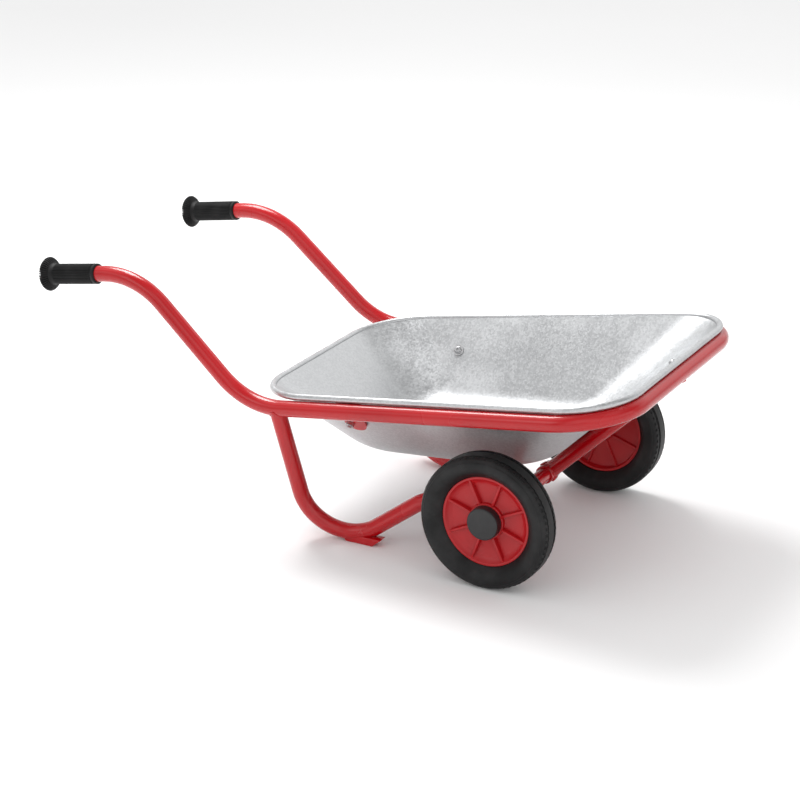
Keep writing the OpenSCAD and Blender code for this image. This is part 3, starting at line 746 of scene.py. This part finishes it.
class BARROW_OT_tray(Piece, bpy.types.Operator):
    """Press the tray: rounded outlines from rim to floor, bridged, with a rolled bead round the rim"""

    bl_idname = "barrow.tray"
    bl_label = "Tray"

    corner_steps = 14

    def outline(self, corners, radii):
        """A closed loop of edges with four rounded corners, given from front left round to front right."""
        middle = sum(corners, Vector()) / 4
        put_down()
        bpy.ops.mesh.primitive_plane_add(size=2, location=middle)
        loop = bpy.context.object
        bpy.ops.object.transform_apply(location=True, rotation=True, scale=True)
        edit()
        for corner, (ahead, left) in zip(corners, ((1, 1), (-1, 1), (-1, -1), (1, -1))):
            choose("VERT", lambda p, _: (p.x - middle.x) * ahead > 0 and (p.y - middle.y) * left > 0)
            start = middle + Vector((ahead, left, 0))
            bpy.ops.transform.translate(value=corner - start)
        reach = max(radii) / 10
        for r, x in ((radii[0], corners[0].x), (radii[1], corners[1].x)):
            choose("VERT", lambda p, _: abs(p.x - x) < MM / 10
                   and min((p - c).length for c in corners) < reach)
            bpy.ops.mesh.bevel(offset=r, segments=self.corner_steps, affect="VERTICES")
        bpy.ops.mesh.select_all(action="SELECT")
        bpy.ops.mesh.delete(type="ONLY_FACE")
        bpy.ops.object.mode_set(mode="OBJECT")
        return loop

    def execute(self, context):
        s, t = context.scene.barrow_frame, context.scene.barrow_tray
        bead_r = t.bead_d / 2
        bead_up = sqrt((s.tube_d / 2 + bead_r + t.touch) ** 2 - t.bead_in**2)
        rim_in = t.bead_in + bead_r

        def rim_corners(inset):
            front, back = s.hoop_front - inset, -t.back + bead_r - t.bead_in + inset
            lift = bead_up / cos(s.tilt)
            ends = ((front, 1), (back, 1), (back, -1), (front, -1))
            return [barrow_point(x, side * (hoop_y(s, x) - inset), hoop_z(s, x) + lift) for x, side in ends]

        def floor_z(x):
            return t.floor_h + tan(t.floor_tilt) * (x - AXLE.x)

        floor_back, back_half = t.floor_front - t.floor_l, t.floor_w / 2 - t.floor_taper
        left = ((t.floor_front, t.floor_w / 2), (floor_back, back_half))
        right = tuple((x, -half) for x, half in reversed(left))
        floor = [barrow_point(x, half, 0) for x, half in left + right]
        rim = rim_corners(rim_in)
        # each station is how far in and how far down an outline lies, as shares of the way to the floor's
        wall_end, bend, flat = Vector((0.74, 0.78)), Vector((0.95, 1)), Vector((1.3, 1))
        stations = [Vector((0, 0)), Vector((0.37, 0.39))]
        bend_steps = 10
        for i in range(bend_steps + 1):
            u = i / bend_steps
            stations.append(wall_end * (1 - u) ** 2 + bend * 2 * u * (1 - u) + flat * u**2)
        loops = []
        for inset, drop in stations:
            corners = []
            for top, low in zip(rim, floor):
                x, y = top.x + (low.x - top.x) * inset, top.y + (low.y - top.y) * inset
                foot = floor_z(low.x if inset <= 1 else x)
                corners.append(Vector((x, y, top.z + (foot - top.z) * drop)))
            radii = [r + (t.floor_corner - r) * inset for r in (s.corner_r - rim_in, t.back_corner)]
            loops.append(self.outline(corners, radii))
        sheet = joined(*loops)
        edit("ALL")
        bpy.ops.mesh.bridge_edge_loops()
        inside_x = corners[1].x - MM / 10, corners[0].x + MM / 10
        inside_y = corners[0].y + MM / 10
        choose("VERT", lambda p, _: abs(p.z - floor_z(p.x)) < MM / 100 and inside_x[0] < p.x < inside_x[1]
               and abs(p.y) < inside_y)
        bpy.ops.mesh.edge_face_add()
        clean()
        bpy.ops.object.mode_set(mode="OBJECT")
        modifier(sheet, "SOLIDIFY", thickness=t.sheet, offset=t.sheet_side, use_even_offset=True)
        bead = self.outline(rim_corners(t.bead_in), [s.corner_r - t.bead_in, t.back_corner + bead_r])
        pick_up(bead)
        bpy.ops.object.convert(target="CURVE")
        bead.data.bevel_depth = bead_r
        bead.data.bevel_resolution = 5
        bpy.ops.object.convert(target="MESH")
        hand_over(joined(sheet, bead), "tray_sheet", "galvanised", "frame", "tray", smooth=30)
        return {"FINISHED"}


def at_wheel(sign):
    return Vector((AXLE.x, sign * WHEEL_Y, AXLE.z))


class BARROW_OT_tyres(Piece, bpy.types.Operator):
    """Turn the tyres and press the zigzag grooves into their treads"""

    bl_idname = "barrow.tyres"
    bl_label = "Tyres"

    def execute(self, context):
        w = context.scene.barrow_wheels
        rim_r, out_r, half, lip = w.rim_d / 2, w.wheel_d / 2, w.tyre_w / 2, w.rim_edge
        zig_at, zig_w = half - 11.4 * MM, 1.9 * MM
        flank = [
            *offsets(rim_r, lip, [(-1.8, -1.6), (-0.2, -1.3), (0.35, 0.4), (1.6, 2.2), (4.5, 5)]),
            *offsets(rim_r, half, [(8, -3.2), (12, -1.0), (15, -0.15), (18, 0), (20.5, -0.3)]),
            *offsets(rim_r, half, [(22.4, -0.9), (22.9, -1.6), (24.6, -2.1)]),
            *offsets(out_r, half, [(-2.4, -4.2), (-1.3, -6.2), (-0.9, -7.8)]),
            *offsets(out_r, zig_at + zig_w, [(-0.35, 0)]),
            *offsets(out_r, zig_at, [(-0.3, 0), (-0.1, -4)]),
        ]
        groove, slit = 0.3 * half, 1.1 * MM
        inner = [(r, -a) for r, a in reversed(flank)]
        middle = [(out_r, 1 * MM), (out_r, -groove + slit + 2 * MM)]
        cut = [(out_r, -groove + slit), (out_r - 4 * MM, -groove + slit * 0.6),
               (out_r - 4 * MM, -groove - slit * 0.6), (out_r, -groove - slit)]
        inner = [(r, a) for r, a in inner if a < -groove - slit - 0.5 * MM]
        profile = flank + middle + cut + inner + flank[:1]
        steps = 2 * w.waves
        for side, sign in SIDES.items():
            centre = at_wheel(sign)
            tyre = turned(profile, centre, (0, sign, 0), (0, 0, 1), steps)
            edit()

            def column(p):
                turn = atan2((p.x - centre.x), (p.z - centre.z)) / FULL_TURN
                return turn * steps

            def across(p):
                return (p.y - centre.y) * sign

            def radius(p):
                return sqrt((p.x - centre.x) ** 2 + (p.z - centre.z) ** 2)

            zig = 1.5 * MM
            for band in (1, -1):
                rows = (band * zig_at, band * (zig_at + zig_w))
                choose("VERT", lambda p, _: radius(p) > out_r - MM and round(column(p)) % 2
                       and any(abs(across(p) - a) < 0.2 * MM for a in rows))
                bpy.ops.transform.translate(value=(0, zig * sign, 0))
                middle_of = band * (zig_at + zig_w / 2)
                choose("FACE", lambda p, _: radius(p) > out_r - 1.2 * MM
                       and abs(across(p) - middle_of - zig / 2) < 0.35 * MM)
                bpy.ops.mesh.extrude_region_shrink_fatten(TRANSFORM_OT_shrink_fatten={"value": -2 * MM})
            choose("FACE", lambda p, _: half - 7.4 * MM < abs(across(p)) < half - 5.0 * MM
                   and radius(p) > out_r - 3 * MM and round(column(p) + 0.5) % 2)
            bpy.ops.mesh.inset(thickness=0.5 * MM, depth=-0.7 * MM, use_individual=True)
            clean()
            hand_over(tyre, side + "_tyre_ring", "tyre_rubber", side + "_wheel", side + "_tyre", smooth=32)
        return {"FINISHED"}


class BARROW_OT_rims(Piece, bpy.types.Operator):
    """Turn the rims and set their ribs"""

    bl_idname = "barrow.rims"
    bl_label = "Rims"

    def rib(self, centre, out, reach, start, top, foot, width):
        """One drafted rib along +Z of the wheel, between start and reach from its centre."""
        put_down()
        middle = centre + Vector((0, out * (top + foot) / 2, (start + reach) / 2))
        bpy.ops.mesh.primitive_cube_add(size=1, location=middle)
        rib = bpy.context.object
        rib.scale = (width, abs(top - foot), reach - start)
        bpy.ops.object.transform_apply(location=True, rotation=True, scale=True)
        edit()
        draft = 0.55
        choose("VERT", lambda p, _: (p.y - middle.y) * out > 0)
        bpy.ops.transform.resize(value=(draft, 1, 1), center_override=middle)
        bpy.ops.object.mode_set(mode="OBJECT")
        rounded(rib, 0.5 * MM, 3)
        return rib

    def execute(self, context):
        w = context.scene.barrow_wheels
        rim_r, edge, cap_r = w.rim_d / 2, w.rim_edge, w.cap_d / 2
        hub_in, hub_r, bore = w.tyre_w / 2 + 2 * MM, 16 * MM, 8.02 * MM
        ring = [
            *offsets(rim_r, -edge, [(-1.6, 2.4), (0, 1.5)]),
            *arc((rim_r - 0.8 * MM, -edge + 0.8 * MM), 0.8 * MM, 0, -90, 4),
            *arc((rim_r - 3 * MM, -edge + 0.6 * MM), 0.6 * MM, -90, -180, 3),
            *offsets(rim_r, 0, [(-5.5, -1.2), (-7.5, -0.4)]),
            *offsets(hub_r, 0, [(2.5, -1.0), (0.6, -2.6)]),
            *offsets(hub_r, -hub_in, [(-0.4, 1.5), (-1.6, 0)]),
            (bore, -hub_in), (bore, 8 * MM), (hub_r, 8 * MM), (hub_r, 6.5 * MM),
            *offsets(cap_r, 0, [(1.2, 6.5), (2, 5.8), (2.4, 1.0), (4, 0.2)]),
            *offsets(rim_r, 0, [(-12, 1.4), (-9, 2.2), (-5.2, 5.2)]),
            (rim_r - 3.8 * MM, edge - 0.9 * MM),
            *arc((rim_r - 2.6 * MM, edge - 0.9 * MM), 0.9 * MM, 180, 90, 3)[1:],
            *arc((rim_r - 0.8 * MM, edge - 0.8 * MM), 0.8 * MM, 90, 0, 4),
            *offsets(rim_r, edge, [(0, -1.5), (-1.6, -2.4)]),
            *offsets(rim_r, -edge, [(-1.6, 2.4)]),
        ]
        for side, sign in SIDES.items():
            centre = at_wheel(sign)
            disc = turned(ring, centre, (0, sign, 0), (0, 0, 1), 96)
            outer = self.rib(centre, sign, rim_r - 4 * MM, cap_r + 1.5 * MM, 6.6 * MM, -0.5 * MM, 5.2 * MM)
            inner = self.rib(centre, -sign, rim_r - 4.5 * MM, hub_r - MM, 4.0 * MM, -0.5 * MM, 4.4 * MM)
            ribs = [outer, inner]
            pitch = FULL_TURN / w.ribs
            for one in (outer, inner):
                pick_up(one)
                edit("ALL")
                bpy.ops.transform.rotate(value=-w.rib_turn, orient_axis="Y", center_override=centre)
                bpy.ops.object.mode_set(mode="OBJECT")
                for i in range(1, w.ribs):
                    pick_up(one)
                    bpy.ops.object.duplicate()
                    copy = bpy.context.object
                    edit("ALL")
                    bpy.ops.transform.rotate(value=i * pitch, orient_axis="Y", center_override=centre)
                    bpy.ops.object.mode_set(mode="OBJECT")
                    ribs.append(copy)
            whole = joined(disc, *ribs)
            hand_over(whole, side + "_rim_disc", "rim_plastic", side + "_wheel", side + "_rim", smooth=35)
        return {"FINISHED"}


class BARROW_OT_hub_caps(Piece, bpy.types.Operator):
    """Turn the hub caps"""

    bl_idname = "barrow.hub_caps"
    bl_label = "Hub caps"

    def execute(self, context):
        w = context.scene.barrow_wheels
        cap_r, top = w.cap_d / 2, w.rim_edge + w.cap_h
        wall, foot = 2 * MM, 6.5 * MM
        edge = 2.2 * MM
        profile = [
            (0, top), (cap_r * 0.5, top - 0.15 * MM), (cap_r - edge - 0.6 * MM, top - 0.5 * MM),
            *arc((cap_r - edge - 0.3 * MM, top - 0.5 * MM - edge), edge, 90, 0, 6),
            (cap_r, foot + 2 * MM), (cap_r, foot), (cap_r - wall, foot),
            (cap_r - wall, top - edge - MM), (0, top - edge - MM),
        ]
        for side, sign in SIDES.items():
            cap = turned(profile, at_wheel(sign), (0, sign, 0), (0, 0, 1), 80)
            hand_over(cap, side + "_cap", "cap_plastic", side + "_wheel", side + "_hub_cap", smooth=50)
        return {"FINISHED"}


class BARROW_OT_grips(Piece, bpy.types.Operator):
    """Turn the grips, raise their ribs and cut the fins of their stops"""

    bl_idname = "barrow.grips"
    bl_label = "Grips"

    def execute(self, context):
        s, g = context.scene.barrow_frame, context.scene.barrow_grips
        body, stop, tube_r = g.grip_d / 2 - 0.9 * MM, g.stop_d / 2, s.tube_d / 2
        mouth = g.grip_l - 3 * MM
        steps = 2 * g.fins
        rib_end = mouth - 6 * MM
        stop_end, rib_from = 8 * MM, 11.9 * MM
        fin_in, fin_depth, rib_height = 8 * MM, 2 * MM, 0.9 * MM
        profile = [
            *offsets(0, 0, [(0, -7), (6, -7), (7, -6.8)]),
            *offsets(stop, 0, [(-5, -5.4), (-1.6, -3.6), (-0.3, -1.8), (0, -0.6), (-0.8, 1.0), (-3.4, 3.6)]),
            *offsets(body, 0, [(2.2, 6.6), (0.5, 9.4), (0, 12)]),
            *offsets(body, rib_end, [(0, 0), (0.5, 0.4), (0.9, 1.4)]),
            *offsets(body, mouth, [(0.9, -1.2), (-0.4, -0.3), (-1.2, 0)]),
            *offsets(tube_r, mouth, [(0, 0), (0, -12)]),
        ]
        run = Vector((cos(s.tilt), 0, sin(s.tilt)))
        up = Vector((-sin(s.tilt), 0, cos(s.tilt)))
        for side, sign in SIDES.items():
            start = hoop_side(s, sign)[0]
            grip = turned(profile, start, run, up, steps)
            edit()

            def along(p):
                return (p - start).dot(run)

            def radius(p):
                return (p - start - run * along(p)).length

            def column(p):
                flat = p - start
                return atan2(flat.y, flat.dot(up)) / FULL_TURN * steps

            choose("FACE", lambda p, _: radius(p) > fin_in and along(p) < stop_end
                   and int(column(p) + steps) % 2 == 0)
            bpy.ops.mesh.extrude_region_shrink_fatten(TRANSFORM_OT_shrink_fatten={"value": -fin_depth})
            choose("FACE", lambda p, _: rib_from < along(p) < rib_end and radius(p) > tube_r + MM
                   and int(column(p) + steps) % 2 == 0)
            bpy.ops.mesh.extrude_region_shrink_fatten(TRANSFORM_OT_shrink_fatten={"value": rib_height})
            clean()
            hand_over(grip, side + "_grip_sleeve", "grip_rubber", "frame", side + "_grip", smooth=30)
        return {"FINISHED"}


class BARROW_OT_kept_nodes(Piece, bpy.types.Operator):
    """Give each solid that is shown as it was packed the finish of its slot"""

    bl_idname = "barrow.kept_nodes"
    bl_label = "Finish the packed solids"

    def execute(self, context):
        for row in frame["record"]["subparts"]:
            node = frame["nodes"][row["node"]]
            node.data.materials.clear()
            node.data.materials.append(finish_of(row["material_slot"]))
        return {"FINISHED"}


class BARROW_OT_stage(Piece, bpy.types.Operator):
    """Lay the floor, hang the lights and set up the camera"""

    bl_idname = "barrow.stage"
    bl_label = "Studio"

    def light(self, name, power, size, place, aim):
        away = Vector(place) - Vector(aim)
        bpy.ops.object.light_add(type="AREA", location=place, rotation=turned_to(away))
        lamp = bpy.context.object
        lamp.name = name
        lamp.data.energy = power
        lamp.data.size = size

    def air(self, context, sky):
        """Even white all round, which reflections alone see in soft bands."""
        world = bpy.data.worlds.new("Studio")
        context.scene.world = world
        air = Recipe(world, "Generated")
        cloud = air.noise(1.6, 2)
        bands = {"Value": cloud, "From Min": 0.35, "From Max": 0.65, "To Min": 0.25, "To Max": 1.3}
        shade = air.node("ShaderNodeMapRange", 0, {}, bands)
        even = air.node("ShaderNodeBackground", 0, {}, {"Color": WHITE, "Strength": sky})
        soft = air.node("ShaderNodeBackground", 0, {}, {"Color": WHITE, "Strength": shade})
        mirrored = air.node("ShaderNodeLightPath", "Is Glossy Ray")
        light = air.node("ShaderNodeMixShader", 0, {}, {0: mirrored, 1: even, 2: soft})
        air.node("ShaderNodeOutputWorld", None, {}, {"Surface": light})

    def execute(self, context):
        st = context.scene.barrow_studio
        put_down()
        bpy.ops.mesh.primitive_plane_add(size=st.floor_size, location=(0, 0, 0))
        floor = bpy.context.object
        floor.name = "studio_floor"
        paper = material("Studio paper")
        mist = paper.ramp(paper.noise(0.8, 2), 0.2, 0.8)
        grey = paper.blend(mist, (0.86, 0.86, 0.86), (0.88, 0.88, 0.88))
        floor.data.materials.append(paper.finish(base_color=grey, roughness=0.9, specular_ior_level=0.1))
        self.light("overhead", st.key, size=0.9, place=(-0.9, 0.55, 1.9), aim=(0, 0, 0.1))
        self.light("camera_side", st.fill, size=1.0, place=(-0.9, -2.2, 1.3), aim=(0, 0, 0.2))
        self.air(context, st.sky)
        gaze = Vector(st.look).to_track_quat("-Z", "Y").to_euler()
        bpy.ops.object.camera_add(location=st.stand, rotation=gaze)
        camera = bpy.context.object
        camera.data.lens = st.lens
        camera.data.sensor_width = 36
        camera.data.clip_end = 100
        context.scene.camera = camera
        context.scene.view_settings.view_transform = "Standard"
        put_down()
        return {"FINISHED"}


OPERATORS = (
    BARROW_OT_stage,
    BARROW_OT_kept_nodes,
    BARROW_OT_hoop,
    BARROW_OT_axle_tube,
    BARROW_OT_legs,
    BARROW_OT_foot_pads,
    BARROW_OT_stay,
    BARROW_OT_tray,
    BARROW_OT_tyres,
    BARROW_OT_rims,
    BARROW_OT_hub_caps,
    BARROW_OT_grips,
)
SETTINGS = {
    "barrow_frame": FrameSizes,
    "barrow_tray": TraySizes,
    "barrow_wheels": WheelSizes,
    "barrow_grips": GripSizes,
    "barrow_finishes": Finishes,
    "barrow_studio": Studio,
}


class BARROW_PT_panel(bpy.types.Panel):
    """Lists the wheelbarrow's pieces"""

    bl_idname = "BARROW_PT_panel"
    bl_label = "Wheelbarrow"
    bl_space_type = "VIEW_3D"
    bl_region_type = "UI"
    bl_category = "Wheelbarrow"

    def draw(self, context):
        for operator in OPERATORS:
            self.layout.operator(operator.bl_idname)


def register():
    for one in (*SETTINGS.values(), *OPERATORS, BARROW_PT_panel):
        bpy.utils.register_class(one)
    for name, group in SETTINGS.items():
        setattr(bpy.types.Scene, name, PointerProperty(type=group))


def unregister():
    for name in SETTINGS:
        delattr(bpy.types.Scene, name)
    for one in (BARROW_PT_panel, *reversed(OPERATORS), *SETTINGS.values()):
        bpy.utils.unregister_class(one)


def main():
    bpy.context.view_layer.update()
    register()
    for operator in OPERATORS:
        group, name = operator.bl_idname.split(".")
        getattr(getattr(bpy.ops, group), name)()


if __name__ == "__main__":
    main()
